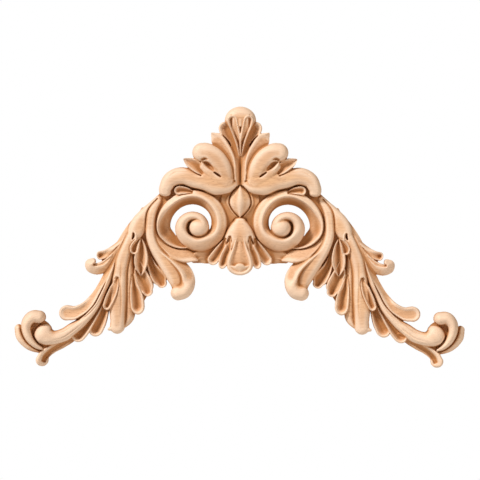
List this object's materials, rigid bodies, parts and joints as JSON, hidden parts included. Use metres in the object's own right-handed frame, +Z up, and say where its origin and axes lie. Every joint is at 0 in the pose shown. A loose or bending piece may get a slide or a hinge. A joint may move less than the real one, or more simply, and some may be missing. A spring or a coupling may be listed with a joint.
{
  "type": "carved corner applique",
  "caption": "Flat-backed carved wooden corner applique: open volutes and a bead under a leafy crown, with acanthus leaves spreading into long curling arms on either side.",
  "frame": {"origin": "on the flat back, on the line of symmetry, at the height of the bead's middle", "axes": "+X to the viewer's right along the carving, +Z up towards the crown, +Y out of the back into the wall"},
  "size_m": [0.3198, 0.024, 0.1846],
  "materials": {
    "wood": "bare sanded pale hardwood, fine tool marks"
  },
  "bodies": {
    "root": {"applique": "wood"}
  },
  "joints": []
}
